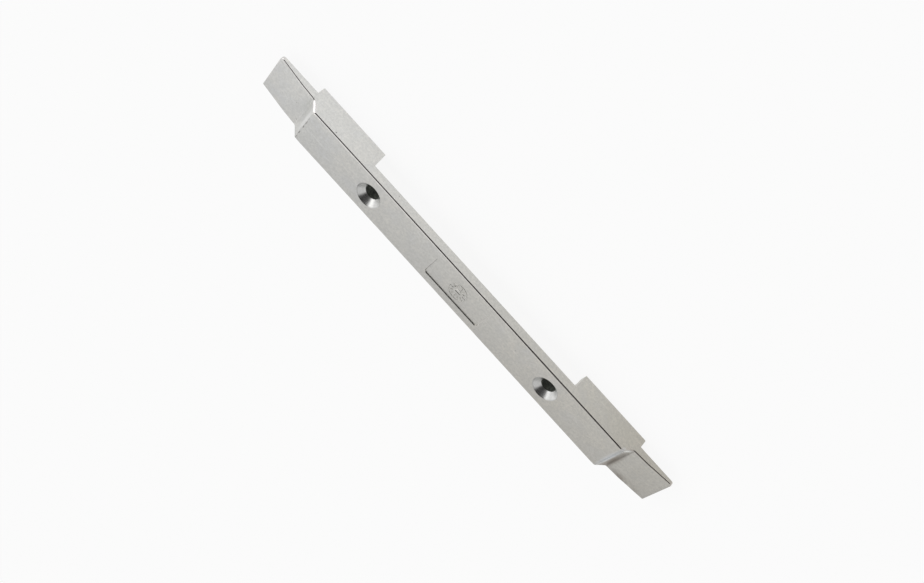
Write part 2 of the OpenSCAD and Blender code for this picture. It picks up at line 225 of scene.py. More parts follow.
def zinc_skin(tree, place, grain, patches, colour, warm, cool):
    clouds = ramp(tree, noise(tree, place, CLOUD, 3), 0.3, 0.7)
    bloom = ramp(tree, noise(tree, place, BLOOM, 3, 0.6), 0.5, 0.68, 0, 0.8)
    mottle = ramp(tree, noise(tree, place, MOTTLE, 3, 0.65), 0.35, 0.65)
    scratches = ramp(tree, noise(tree, stretched(tree, place, 0.06), SCRATCH, 2), 0.62, 0.72, 0, 0.35)
    tint = blend(tree, clouds, colour, warm)
    tint = blend(tree, bloom, tint, cool)
    tint = blend(tree, math_node(tree, "MULTIPLY", patches, 0.55), tint, darker(colour, 0.85))
    tint = blend(tree, mottle, tint, darker(colour, 0.84))
    tint = blend(tree, ramp(tree, grain, 0.3, 0.7, 0, 0.3), tint, (0.4, 0.4, 0.39, 1))
    return blend(tree, scratches, tint, (0.84, 0.84, 0.83, 1))


# %% [markdown]
# Some marks belong to one place of this casting. Each of them is an ellipsoid, given by its centre and
# its reach in mm: dark ones are a pit, a nick, and a painted dark line along the upper crest, which stands
# in for the dark reflection of its rounded edge. Soot and painted shade lie in the foot of the lower step,
# the lower tongue is darker in patches along one side, the crests and the lower step's near edge carry
# painted highlights, and the foot of the upper step carries painted shade.

# %% Marks, painted highlights and painted shade that stay in one place
# Painted dark line along the upper crest, in place of the dark reflection of its rounded edge
UPPER_CREST_PAINTED_LINE = (-68.7, -2, 9), (0.3, 9, 2)
PIT = (-60, 8, 8.15), (0.3, 0.5, 0.3)
NICK = (56.6, 8, 9.2), (0.45, 0.5, 0.5)
# Soot and painted shade in the concave foot of the lower step
STEP_SOOT_AND_SHADE = (71.2, -4, 7), (2.1, 11.8, 90)
# The lower tongue is darker in patches along its -Y side
TONGUE_DARK_PATCHES = (79, -9, 5), (9, 5, 90)
# Painted highlights on both crests and on the lower step's near edge
LOWER_CREST_PAINTED_HIGHLIGHT = (69.1, 1, 8.8), (1.3, 11, 2)
LOWER_STEP_EDGE_PAINTED_HIGHLIGHT = (70.8, 7.3, 7.7), (2.0, 0.68, 1.7)
UPPER_CREST_PAINTED_HIGHLIGHT = (-69.6, 2.5, 8.5), (0.95, 8, 1.4)
# Painted shade in the concave foot of the upper step
UPPER_FOOT_PAINTED_SHADE = (-72.2, 4, 5.9), (1.9, 6, 2.6)
# Painted highlights and painted shade, each with its strength, tint and way of blending
PAINTED_HIGHLIGHTS_AND_SHADE = (
    (LOWER_CREST_PAINTED_HIGHLIGHT, 0.6, (0.77, 0.82, 0.87, 1), "MIX"),
    (LOWER_STEP_EDGE_PAINTED_HIGHLIGHT, 0.7, (0.95, 0.97, 0.95, 1), "MIX"),
    (UPPER_CREST_PAINTED_HIGHLIGHT, 0.42, (0.93, 0.935, 0.93, 1), "MIX"),
    (UPPER_FOOT_PAINTED_SHADE, 0.5, (0.80, 0.81, 0.79, 1), "MULTIPLY"))


def stain(tree, place, centre_mm, reach_mm):
    """1 round one place of the casting, and 0 outside an ellipsoid of that reach."""
    centre = [part * MM for part in centre_mm]
    shares = [1 / (part * MM) for part in reach_mm]
    moved = add(tree, "ShaderNodeVectorMath", {0: place, 1: centre}, operation="SUBTRACT").outputs[0]
    scaled = add(tree, "ShaderNodeVectorMath", {0: moved, 1: shares}, operation="MULTIPLY").outputs[0]
    distance = add(tree, "ShaderNodeVectorMath", {0: scaled}, operation="LENGTH").outputs["Value"]
    return ramp(tree, distance, 1.0, 0.2)


def dark_marks(tree, place):
    cells = add(tree, "ShaderNodeTexVoronoi", {"Vector": place, "Scale": 1 / (6 * MM)})
    pits = ramp(tree, cells.outputs["Distance"], 0.02, 0.035, 0.6, 0)
    # Noise breaks up the painted dark line along the upper crest
    broken = ramp(tree, noise(tree, place, 1.6, 2), 0.44, 0.5, 0, 0.8)
    marks = math_node(tree, "MULTIPLY", broken, stain(tree, place, *UPPER_CREST_PAINTED_LINE))
    for mark in (stain(tree, place, *PIT), stain(tree, place, *NICK), pits):
        marks = math_node(tree, "MAXIMUM", marks, mark)
    return marks


# %% [markdown]
# Painted shade: the lower end is darker and warmer than the upper one, on the long side more than on
# the front, the long side is painted lighter towards the upper end, and the front is a little darker
# towards its hidden edge. Each of these is a ramp along one axis that multiplies the tint. The ramp
# across the bar also tells the front from the long side.

# %% Shade along and across the bar
def handled(tree, place, tint):
    along, across = add(tree, "ShaderNodeSeparateXYZ", {0: place}).outputs[0:2]
    towards_lower_end = ramp(tree, along, -70 * MM, 80 * MM)
    front = blend(tree, towards_lower_end, tint, (0.95, 0.925, 0.88, 1), "MULTIPLY")
    hidden_edge_shade = ramp(tree, across, -8 * MM, 8 * MM, 1, 0)
    front = blend(tree, hidden_edge_shade, front, (0.90, 0.90, 0.90, 1), "MULTIPLY")
    side = blend(tree, towards_lower_end, tint, (0.80, 0.78, 0.735, 1), "MULTIPLY")
    # Painted light on the upper part of the long side, painted shade on the lower lug's side
    upper_side_light, lower_lug_shade = ramp(tree, along, -70 * MM, 30 * MM, 1, 0), ramp(tree, along, 45 * MM, 72 * MM)
    side = blend(tree, upper_side_light, side, (1.10, 1.10, 1.10, 1), "MULTIPLY")
    side = blend(tree, lower_lug_shade, side, (0.90, 0.885, 0.86, 1), "MULTIPLY")
    return blend(tree, ramp(tree, across, 7.6 * MM, 7.9 * MM), front, side)


# %% Zinc in three finishes
def casting_material(name, colour, warm, cool, roughness, grain_depth):
    material, tree, shader, place = new_material(name)
    grain = noise(tree, place, GRAIN, 4, 0.7)
    patches = ramp(tree, noise(tree, place, PATCH, 3, 0.6), 0.3, 0.7)
    tint = zinc_skin(tree, place, grain, patches, colour, warm, cool)
    # Dark pits and a nick, and the painted dark line along the upper crest
    tint = blend(tree, dark_marks(tree, place), tint, (0.18, 0.17, 0.16, 1))
    # Painted shade along and across the bar
    tint = handled(tree, place, tint)
    # Darker patches along the -Y side of the lower tongue
    tongue_dark_patches = math_node(tree, "MULTIPLY", patches, stain(tree, place, *TONGUE_DARK_PATCHES))
    # Soot and painted shade in the foot of the lower step, joined with the tongue's darker patches
    soot_and_shade = math_node(tree, "MAXIMUM", stain(tree, place, *STEP_SOOT_AND_SHADE), tongue_dark_patches)
    tint = blend(tree, soot_and_shade, tint, (0.50, 0.45, 0.42, 1), "MULTIPLY")
    # Painted highlights on the crests and the lower step's near edge, and painted shade in the upper foot
    for spot, strength, spot_colour, kind in PAINTED_HIGHLIGHTS_AND_SHADE:
        share = math_node(tree, "MULTIPLY", stain(tree, place, *spot), strength)
        tint = blend(tree, share, tint, spot_colour, kind)
    rough = ramp(tree, grain, 0.3, 0.7, roughness - 0.05, roughness + 0.07)
    return end_material(material, shader, tint, rough, bump(tree, grain, grain_depth))


satin_zinc = casting_material("satin_zinc", (0.78, 0.78, 0.76, 1), (0.81, 0.79, 0.745, 1),
                              (0.755, 0.765, 0.785, 1), 0.42, 0.006)
burnished_zinc = casting_material("burnished_zinc", (0.74, 0.72, 0.71, 1), (0.75, 0.725, 0.70, 1),
                                  (0.73, 0.715, 0.715, 1), 0.16, 0.0)
raw_zinc = casting_material("raw_zinc", (0.50, 0.50, 0.51, 1), (0.54, 0.53, 0.51, 1),
                            (0.48, 0.49, 0.52, 1), 0.5, 0.01)

# %% [markdown]
# ## Turned surfaces
# A countersink is cut by a turning tool, which leaves fine rings round its axis and a brighter metal
# than the casting's skin, and its tint is darker in a thin band at its outer rim. The distance from the
# axis gives the rings, and it needs the place of each axis: the nearer of two holes is found by
# mirroring X, since the holes are alike on both ends.

# %% Rings round the axis of a hole
HOLE_X, HOLE_R, SINK_R = 40.0, 2.6, 4.6
RING_DEPTH, RIM_LINE = 0.003, 0.35


def turned_material(name, colour, roughness, axis_x, axis_y, pitch_mm=0.14):
    material, tree, shader, place = new_material(name)
    parts = add(tree, "ShaderNodeSeparateXYZ", {0: place}).outputs
    off_x = math_node(tree, "SUBTRACT", math_node(tree, "ABSOLUTE", parts[0]), axis_x * MM)
    off_y = math_node(tree, "SUBTRACT", parts[1], axis_y * MM)
    squares = [math_node(tree, "MULTIPLY", part, part) for part in (off_x, off_y)]
    radius = math_node(tree, "SQRT", math_node(tree, "ADD", *squares))
    around = math_node(tree, "ARCTAN2", off_y, off_x)
    rings = math_node(tree, "SINE", math_node(tree, "MULTIPLY", radius, 2 * math.pi / (pitch_mm * MM)))
    polar = add(tree, "ShaderNodeCombineXYZ", {0: math_node(tree, "MULTIPLY", radius, 4.0),
                                              1: math_node(tree, "MULTIPLY", around, 0.0004)})
    streaks = noise(tree, polar.outputs[0], 0.4, 3, 0.6)
    tint = blend(tree, ramp(tree, streaks, 0.35, 0.65), colour, darker(colour, 0.9))
    rim = ramp(tree, radius, (SINK_R - RIM_LINE) * MM, SINK_R * MM, 0, 0.6)
    tint = blend(tree, rim, tint, (0.34, 0.34, 0.33, 1))
    rough = ramp(tree, streaks, 0.3, 0.7, roughness - 0.02, roughness + 0.03)
    return end_material(material, shader, tint, rough, bump(tree, rings, RING_DEPTH, 0.5))


turned_zinc = turned_material("turned_zinc", (0.75, 0.75, 0.735, 1), 0.28, HOLE_X, 0)

# %% [markdown]
# ## Plated sheet
# The slides and the cover are punched from rolled sheet and zinc plated. Rolling leaves long faint
# streaks along the bar, which is noise on coordinates squeezed along X, and plating leaves pale yellow
# and blue clouds. A punched edge is bright where the punch sheared it and dark and torn where the
# sheet broke away, so faces that look sideways are mixed towards a rough, darker metal.

# %% Zinc-plated sheet
def plated_material(name, colour, torn):
    material, tree, shader, place = new_material(name)
    streaks = noise(tree, stretched(tree, place, 0.04), 0.12, 3, 0.6)
    clouds = ramp(tree, noise(tree, place, 6, 3), 0.35, 0.65)
    bluish = (colour[0] * 0.94, colour[1] * 0.98, colour[2] * 1.04, 1)
    tint = blend(tree, clouds, colour, bluish)
    tint = blend(tree, ramp(tree, streaks, 0.3, 0.7, 0, 0.3), tint, darker(colour, 0.75))
    normal = add(tree, "ShaderNodeTexCoord").outputs["Normal"]
    upright = math_node(tree, "ABSOLUTE", add(tree, "ShaderNodeSeparateXYZ", {0: normal}).outputs[2])
    sideways = ramp(tree, upright, 0.5, 0.2)
    tearing = ramp(tree, noise(tree, place, 0.25, 4, 0.7), 0.4, 0.6)
    tint = blend(tree, math_node(tree, "MULTIPLY", sideways, tearing), tint, torn)
    rough = math_node(tree, "ADD", ramp(tree, streaks, 0.3, 0.7, 0.26, 0.38),
                      math_node(tree, "MULTIPLY", sideways, 0.15))
    return end_material(material, shader, tint, rough, bump(tree, streaks, 0.002, 0.6))


plated_steel = plated_material("plated_steel", (0.62, 0.60, 0.50, 1), (0.30, 0.29, 0.26, 1))

# %% [markdown]
# ## Drawn steel and moulded nylon
# Rivets, the ball and the spring are drawn steel, bright with fine scuffs, and one fast noise gives its
# tint, roughness and bump. Guides, pads and bushes are moulded nylon: no metal, a fine matt skin from
# the mould, and slow clouds where the colour is uneven. The bushes are paler and more uneven.

# %% Drawn steel for rivets, the ball and the spring
def drawn_material(name, colour, roughness):
    material, tree, shader, place = new_material(name)
    scuffs = noise(tree, place, 0.2, 4, 0.7)
    tint = blend(tree, ramp(tree, scuffs, 0.35, 0.7, 0, 0.6), colour, darker(colour, 0.7))
    rough = ramp(tree, scuffs, 0.3, 0.7, roughness - 0.06, roughness + 0.1)
    return end_material(material, shader, tint, rough, bump(tree, scuffs, 0.001, 0.4))


drawn_steel = drawn_material("drawn_steel", (0.55, 0.56, 0.58, 1), 0.24)


# %% Moulded nylon
def nylon_material(name, colour, cloud_mm, gain):
    material, tree, shader, place = new_material(name)
    skin = noise(tree, place, 0.25, 3, 0.6)
    clouds = ramp(tree, noise(tree, place, cloud_mm, 2), 0.35, 0.65)
    tint = blend(tree, clouds, colour, [channel * gain for channel in colour[:3]] + [1])
    rough = ramp(tree, skin, 0.3, 0.7, 0.42, 0.6)
    return end_material(material, shader, tint, rough, bump(tree, skin, 0.006, 0.7), 0.0)


black_nylon = nylon_material("black_nylon", (0.022, 0.024, 0.023, 1), 5, 1.5)
bush_nylon = nylon_material("bush_nylon", (0.050, 0.056, 0.045, 1), 0.9, 2.6)

# %% [markdown]
# ## The casting
# The casting's form is the CAD node's, but a die can't cast a sharp edge and a tumbler rounds what is
# left. A Bevel modifier makes spikes where short arcs meet long edges, so the rounding is cut instead:
# an envelope with round edges is lofted round the front, and the casting keeps only what lies inside
# it. Each station of the loft is one place along the side view, with its own normal and radius. The
# step's edges are rounded the most, as on the real bar, where they catch the light. Its crest is much
# rounder at the lower end than at the upper one, and there it gets sharper across the bar. At its foot
# the step meets the tongue in a tight corner, and a shallow hollow runs from there into the tongue.

# %% Side view of the front, from the middle to a tip
FACE_Z, PLATE_Z, BLOCK_Z, SIDE_Y = 9.2, 5.8, 3.05, 8.0
FACE_X, FOOT_X, TIP_X, TIP_Z = 69.0, 75.3, 88.0, 4.2
CORNER_X, CORNER_Z, FOOT_REACH = 72.03, 5.9, 0.35
FLAT_XS, HOLLOW_XS, TONGUE_XS = (0, 20, 40, 60, 66, 67.5), (73, 74.5, 76), (77.5, 79, 81, 84)
HOLLOW_X, TONGUE_SLOPE = TONGUE_XS[0], (TIP_Z - PLATE_Z) / (TIP_X - FOOT_X)


def front_side_view(crest_r, steps=6):
    """Points (x, z) in mm along the face, over the rounded crest, down the step and along the tongue."""
    fall = math.atan2(FACE_Z - CORNER_Z, CORNER_X - FACE_X)
    hollow_z = PLATE_Z + TONGUE_SLOPE * (HOLLOW_X - FOOT_X)
    hollow = (hollow_z - CORNER_Z) / (HOLLOW_X - CORNER_X)
    crest_start = FACE_X - crest_r * math.tan(fall / 2)
    points = [(x, FACE_Z) for x in FLAT_XS]
    for i in range(steps + 1):
        a = fall * i / steps
        points.append((crest_start + crest_r * math.sin(a), FACE_Z - crest_r * (1 - math.cos(a))))
    foot_start, foot_top = CORNER_X - FOOT_REACH, CORNER_Z + FOOT_REACH * math.tan(fall)
    crest_x, crest_z = points[-1]
    for share in (1 / 3, 2 / 3):
        points.append((crest_x + share * (foot_start - crest_x), crest_z + share * (foot_top - crest_z)))
    for i in range(steps + 1):
        t = i / steps
        before, after = (1 - t) ** 2, t * t
        points.append((CORNER_X + FOOT_REACH * (after - before),
                       CORNER_Z + before * (foot_top - CORNER_Z) + after * FOOT_REACH * hollow))
    points += [(x, CORNER_Z + hollow * (x - CORNER_X)) for x in HOLLOW_XS]
    return points + [(x, PLATE_Z + TONGUE_SLOPE * (x - FOOT_X)) for x in TONGUE_XS]


# %% Stations of the envelope along one long side
SKIN = 0.002
EDGE_R, STEP_EDGE_R, TONGUE_EDGE_R = 0.56, 1.06, 0.44
STEP_WIDENS, STEP_NARROWS, TIP_BLEND = (67.8, 69.4), (71.2, 72.3), 6.5


def edge_radius(x):
    """Radius of the long edges in mm: the step's are the widest."""
    def rise(start, end):
        t = min(max((x - start) / (end - start), 0), 1)
        return t * t * (3 - 2 * t)
    widened = EDGE_R + (STEP_EDGE_R - EDGE_R) * rise(*STEP_WIDENS)
    return widened - (STEP_EDGE_R - TONGUE_EDGE_R) * rise(*STEP_NARROWS)


def tip_stations(corner_r, edge_r, steps=8):
    """Places round one corner of the tip, from the long side to the end."""
    normal = Vector((-TONGUE_SLOPE, 0, 1)).normalized()
    for i in range(steps + 1):
        a = math.pi / 2 * i / steps
        x = TIP_X - corner_r + (corner_r + SKIN) * math.sin(a)
        y = SIDE_Y - corner_r + (corner_r + SKIN) * math.cos(a)
        z = PLATE_Z + (x - FOOT_X) * TONGUE_SLOPE
        yield Vector((x, y, z)), Vector((math.sin(a), math.cos(a), 0)), normal, edge_r


def side_stations(crest_r, corner_r, tip_edge_r, narrow):
    """Places along one long side from the middle to the tip: point, outward, normal and radius."""
    view = front_side_view(crest_r)
    for i, (x, z) in enumerate(view):
        before, after = view[max(i - 1, 0)], view[min(i + 1, len(view) - 1)]
        normal = Vector((before[1] - after[1], 0, after[0] - before[0])).normalized()
        share = min(max((x - HOLLOW_X) / TIP_BLEND, 0), 1)
        radius = edge_radius(x) * narrow * (1 - share) + tip_edge_r * share
        yield Vector((x, SIDE_Y + SKIN, z)), Vector((0, 1, 0)), normal, radius
    yield from tip_stations(corner_r, tip_edge_r)


# %% [markdown]
# The two long sides of the loft differ: the one that faces the room has wider edges and a rounder
# corner at each tip. The envelope stands a few microns off the flat faces, so that the cut leaves them
# whole. Its round faces carry the burnished finish, which the casting takes over where it is cut.

# %% Loft the envelope
FINISHES = (satin_zinc, burnished_zinc, turned_zinc)
SATIN, BURNISHED, TURNED = range(3)
UPPER_CREST_RS, LOWER_CREST_RS = (0.8, 0.6), (2.1, 0.5)
SEEN_SIDE, HIDDEN_SIDE = (1.2, 0.42, 1.0), (0.3, 0.2, 0.6)
ARC_STEPS, BELOW = 6, -1.0


def envelope_row(form, end, places):
    """Two arcs of vertices at one station, one for each long side, from below up to the front."""
    row = []
    for side, (point, outward, normal, radius) in zip((1, -1), places):
        edge = point + Vector((0, 0, SKIN)) - radius * (outward + normal)
        turns = [math.pi / 2 * k / ARC_STEPS for k in range(ARC_STEPS + 1)]
        arc = [edge + radius * (math.cos(a) * outward + math.sin(a) * normal) for a in turns]
        arc.insert(0, Vector((arc[0].x, arc[0].y, BELOW)))
        row.append([form.verts.new(corner * Vector((end, side, 1)) * MM) for corner in arc])
    return row


def rounded_envelope():
    form = bmesh.new()
    rows = []
    for end, crest_rs in ((-1, UPPER_CREST_RS), (1, LOWER_CREST_RS)):
        half = list(zip(side_stations(crest_rs[0], *SEEN_SIDE), side_stations(crest_rs[1], *HIDDEN_SIDE)))
        rows += [envelope_row(form, end, places) for places in (reversed(half) if end < 0 else half[1:])]

    def quad(finish, *corners):
        form.faces.new(corners).material_index = finish

    for near, far in zip(rows, rows[1:]):
        for side in (0, 1):
            for k in range(ARC_STEPS + 1):
                quad(BURNISHED, near[side][k], near[side][k + 1], far[side][k + 1], far[side][k])
        for k in (-1, 0):
            quad(SATIN, near[0][k], near[1][k], far[1][k], far[0][k])
    for row in (rows[0], rows[-1]):
        for k in range(ARC_STEPS + 1):
            quad(BURNISHED, row[0][k], row[0][k + 1], row[1][k + 1], row[1][k])
    return to_closed_object(form, "envelope", FINISHES)


# %% [markdown]
# A few edges are dressed one by one. The rim of the label field has a narrow chamfer, cut with a
# flared block. Behind the lugs' outer ends, the root of each tongue is a tight corner on the real bar,
# so the CAD node's wider fillet is cleared with a block, and the upright edges of the lugs are rounded
# with another. Tools that overlap would confuse one Boolean, so each is cut on its own.

# %% Rim of the label field
LABEL_LEN, LABEL_W, LABEL_R, RIM = 23.4, 9.6, 0.9, 0.12


def label_rim(corners=32, clear=0.1, overlap=0.01):
    """A flared block that chamfers the rim of the label field."""
    rings = []
    for grown, z in ((-overlap, FACE_Z - RIM - overlap), (RIM + clear, FACE_Z + clear)):
        turns = [2 * math.pi * (k + 0.5) / corners for k in range(corners)]
        reach = LABEL_R + grown
        rings.append([(math.copysign(LABEL_LEN / 2 - LABEL_R, math.cos(a)) + reach * math.cos(a),
                       math.copysign(LABEL_W / 2 - LABEL_R, math.sin(a)) + reach * math.sin(a), z)
                      for a in turns])
    form = bmesh.new()
    add_block(form, *rings)
    for face in form.faces:
        face.material_index = BURNISHED
    return to_closed_object(form, "label_rim", FINISHES)


# %% Outer ends of the lugs
LUG_X, LUG_CORNER_R = 72.8, 0.4
WALL_X, ROOT_Z, CLEAR = LUG_X + 0.02, BLOCK_Z - 0.02, 1.6


def mirrored_blocks(name, low, high, mirrors):
    form = bmesh.new()
    for mirror in mirrors:
        add_block(form, [corner * mirror for corner in low], [corner * mirror for corner in high])
    return to_closed_object(form, name, FINISHES)


def root_tool():
    """Clears the root of each tongue behind the lugs' outer ends."""
    outline = [(WALL_X, -1), (WALL_X, ROOT_Z - 0.2), (WALL_X + 0.06, ROOT_Z - 0.06),
               (WALL_X + 0.2, ROOT_Z), (LUG_X + CLEAR, ROOT_Z), (LUG_X + CLEAR, -1)]
    rings = [[Vector((x, y, z)) for x, z in outline] for y in (-9, 9)]
    return mirrored_blocks("root_tool", *rings, [Vector((end, 1, 1)) for end in (-1, 1)])


def corner_tool(steps=5, clear=0.3):
    """Rounds the four upright edges at the lugs' outer ends."""
    x_end, y_end, r = WALL_X + SKIN, SIDE_Y + SKIN, LUG_CORNER_R
    turns = [math.pi / 2 * i / steps for i in range(steps + 1)]
    outline = [(x_end - r * (1 - math.cos(a)), y_end - r * (1 - math.sin(a))) for a in turns]
    outline += [(x_end - r, y_end + clear), (x_end + clear, y_end + clear), (x_end + clear, y_end - r)]
    rings = [[Vector((x, y, z)) for x, y in outline] for z in (-1, BLOCK_Z - 0.03)]
    corners = [Vector((end, side, 1)) for end in (-1, 1) for side in (-1, 1)]
    return mirrored_blocks("corner_tool", *rings, corners)


# %% Cut the rounding, then set the finishes
def split_finishes(piece):
    """Makes the border of each finish sharp, so that a flat face keeps its own flat normal."""
    form = bmesh.new()
    form.from_mesh(piece.data)
    for edge in form.edges:
        if len({face.material_index for face in edge.link_faces}) > 1:
            edge.smooth = False
    form.to_mesh(piece.data)
    form.free()


casting = whole_faces("housing", "zinc_casting")
for material in FINISHES:
    casting.data.materials.append(material)
for face in casting.data.polygons:
    centre = face.center / MM
    in_sink = math.hypot(abs(centre.x) - HOLE_X, centre.y) < SINK_R
    face.material_index = TURNED if in_sink and 0.1 < face.normal.z < 0.95 else SATIN
cut(casting, rounded_envelope(), "INTERSECT")
for tool in (label_rim, root_tool, corner_tool):
    cut(casting, tool())
shade_by_angle(casting)
split_finishes(casting)
casting.modifiers.new("Weighted normals", "WEIGHTED_NORMAL").keep_sharp = True
make_plain(casting)
settle(casting, "casing", "die_cast", "housing")

# %% [markdown]
# ## Growing repeated forms
# Ticks round a dial, teeth round a gear, pins at both ends: each is one form and a rule for its places.
# A Geometry Nodes tree holds the rule, with named inputs for the form, the count and the places. The
# result is turned into a plain mesh with its own material, since instances would be lost on export.

# %% Begin and end a tree
def new_tree(name, inputs):
    tree = bpy.data.node_groups.new(name, "GeometryNodeTree")
    tree.interface.new_socket("Geometry", in_out="OUTPUT", socket_type="NodeSocketGeometry")
    for label, kind in inputs.items():
        tree.interface.new_socket(label, in_out="INPUT", socket_type="NodeSocket" + kind)
    return tree, add(tree, "NodeGroupInput").outputs


def end_tree(tree, geometry, material):
    whole = add(tree, "GeometryNodeRealizeInstances", {"Geometry": geometry})
    finished = add(tree, "GeometryNodeSetMaterial", {"Geometry": whole.outputs[0], "Material": material})
    add(tree, "NodeGroupOutput", {0: finished.outputs[0]})
    return tree


# %% Trees that put a form in a row or in a ring
def copies_at(tree, given, first, step, rotation=(0, 0, 0)):
    line = add(tree, "GeometryNodeMeshLine", {"Count": given["Count"], "Start Location": first,
                                              "Offset": step}, mode="OFFSET")
    form = add(tree, "GeometryNodeObjectInfo", {"Object": given["Form"]})
    inputs = {"Points": line.outputs[0], "Instance": form.outputs["Geometry"], "Rotation": rotation}
    return add(tree, "GeometryNodeInstanceOnPoints", inputs).outputs[0]


def row_tree():
    tree, given = new_tree("forms_in_a_row", {"Form": "Object", "Count": "Int", "First": "Vector",
                                              "Step": "Vector", "Material": "Material"})
    return end_tree(tree, copies_at(tree, given, given["First"], given["Step"]), given["Material"])


def ring_tree():
    tree, given = new_tree("forms_in_a_ring", {"Form": "Object", "Count": "Int", "Centre": "Vector",
                                               "Material": "Material"})
    share = math_node(tree, "DIVIDE", add(tree, "GeometryNodeInputIndex").outputs[0], given["Count"])
    turn = add(tree, "ShaderNodeCombineXYZ", {2: math_node(tree, "MULTIPLY", share, 2 * math.pi)})
    copies = copies_at(tree, given, given["Centre"], (0, 0, 0), turn.outputs[0])
    return end_tree(tree, copies, given["Material"])


ROW, RING = row_tree(), ring_tree()
print("Two trees grow forms:", ROW.name, "and", RING.name)


# %% Grow a piece with a tree
def grow(name, tree, **values):
    piece = link(bpy.data.objects.new(name, bpy.data.meshes.new(name)))
    modifier = piece.modifiers.new("Grow", "NODES")
    modifier.node_group = tree
    for item in tree.interface.items_tree:
        if item.in_out == "INPUT":
            modifier[item.identifier] = values[item.name]
    make_plain(piece)
    shade_by_angle(piece)
    if "Form" in values:
        bpy.data.objects.remove(values["Form"])
    return piece


def in_metres(place_mm):
    return [part * MM for part in place_mm]


def row_of(name, form, material, first_mm, count=1, step_mm=(0, 0, 0)):
    return grow(name, ROW, Form=form, Count=count, First=in_metres(first_mm),
                Step=in_metres(step_mm), Material=material)


def pair_of(name, form, material, x, y):
    """Two alike, as far to one end of the bar as to the other."""
    return row_of(name, form, material, (-x, y, 0), 2, (2 * x, 0, 0))


# %% [markdown]
# Pins, bushes, rings and wheels are all turned round an axis. The half section of each is a list of
# points, and one helper turns it. It is closed along the axis where a radius is 0, and is a ring
# otherwise. Small blocks are drawn in a little towards their tops, as a cast form has to be.

# %% Turn a form from its half section, or draw a block
def turned(name, section, segments=48):
    """A form turned round Z from (radius, height) points in mm; it is closed where a radius is 0."""
    form = bmesh.new()
    rows = []
    for radius, height in section:
        count = segments if radius > 0 else 1
        angles = [2 * math.pi * k / segments for k in range(count)]
        rows.append([form.verts.new(Vector((radius * math.cos(a), radius * math.sin(a), height)) * MM)
                     for a in angles])
    closed = section[0][0] > 0
    for low, high in zip(rows, rows[1:] + rows[:1] if closed else rows[1:]):
        for k in range(segments):
            n = (k + 1) % segments
            corners = [low[k % len(low)], low[n % len(low)], high[n % len(high)], high[k % len(high)]]
            form.faces.new(list(dict.fromkeys(corners)))
    return to_closed_object(form, name)


def ring_section(inner, outer, low, top, chamfer):
    """Half section of a plain ring with all its edges chamfered."""
    return [(inner, low + chamfer), (inner + chamfer, low), (outer - chamfer, low), (outer, low + chamfer),
            (outer, top - chamfer), (outer - chamfer, top), (inner + chamfer, top), (inner, top - chamfer)]


def bar_form(name, low, high, taper=0.0):
    """A block between two corners in mm whose top is drawn in by taper on every side."""
    mesh = bpy.data.meshes.new(name)
    corners = []
    for z, t in ((low[2], 0), (high[2], taper)):
        corners += [(low[0] + t, low[1] + t, z), (high[0] - t, low[1] + t, z),
                    (high[0] - t, high[1] - t, z), (low[0] + t, high[1] - t, z)]
    sides = [(3, 2, 1, 0), (4, 5, 6, 7), (0, 1, 5, 4), (1, 2, 6, 5), (2, 3, 7, 6), (3, 0, 4, 7)]
    mesh.from_pydata([Vector(corner) * MM for corner in corners], [], sides)
    return link(bpy.data.objects.new(name, mesh))


# %% [markdown]
# ## The label field
# The shallow field in the middle of the face holds what any die caster puts into a die: a small dial
# that shows the month of casting, with plain numbers round a ring, tick marks, and a slotted insert in
# the middle. All of it stands 0.1 mm above the field's floor. The ring and the insert are turned, the
# ticks are grown round them, and the numbers are text that is made a mesh.

# %% Dial ring, insert and ticks
LABEL_Z, DIAL_R, RAISED = 8.9, 3.3, 0.1
DIAL_LOW, DIAL_EDGE, DIAL_TOP = LABEL_Z - 0.02, LABEL_Z + RAISED * 0.6, LABEL_Z + RAISED
ring = turned("dial_ring", [(DIAL_R, DIAL_LOW), (DIAL_R, DIAL_EDGE), (DIAL_R + 0.06, DIAL_TOP),
                            (DIAL_R + 0.18, DIAL_TOP), (DIAL_R + 0.24, DIAL_EDGE),
                            (DIAL_R + 0.24, DIAL_LOW)], 72)
insert = turned("dial_insert", [(0, DIAL_LOW), (1.3, DIAL_LOW), (1.3, DIAL_EDGE), (1.22, DIAL_TOP),
                                (0, DIAL_TOP)])
cut(insert, bar_form("slot_tool", (-1.0, -0.14, LABEL_Z), (1.0, 0.14, LABEL_Z + 1)))
tick = bar_form("tick", (DIAL_R - 0.5, -0.06, DIAL_LOW), (DIAL_R + 0.05, 0.06, DIAL_TOP), 0.02)
ticks = grow("dial_ticks", RING, Form=tick, Count=12, Centre=(0, 0, 0), Material=satin_zinc)

# %% Plain numbers round the dial
NUMBER_SIZE, NUMBER_REACH = 1.12, DIAL_R - 1.05
numbers = []
for month in range(1, 13):
    turn = math.radians(90 - 30 * month)
    text = bpy.data.curves.new("number", "FONT")
    text.body, text.size = str(month), NUMBER_SIZE * MM
    text.align_x = text.align_y = "CENTER"
    text.extrude, text.resolution_u = RAISED / 2 * MM, 3
    holder = link(bpy.data.objects.new("number", text))
    graph = bpy.context.evaluated_depsgraph_get()
    mesh = bpy.data.meshes.new_from_object(holder.evaluated_get(graph))
    bpy.data.objects.remove(holder)
    place = Vector((NUMBER_REACH * math.cos(turn), NUMBER_REACH * math.sin(turn), LABEL_Z + RAISED / 2))
    mesh.transform(Matrix.Translation(place * MM) @ Matrix.Rotation(turn - math.pi / 2, 4, "Z"))
    numbers.append(link(bpy.data.objects.new("number", mesh)))
print("The dial has", len(numbers), "numbers")


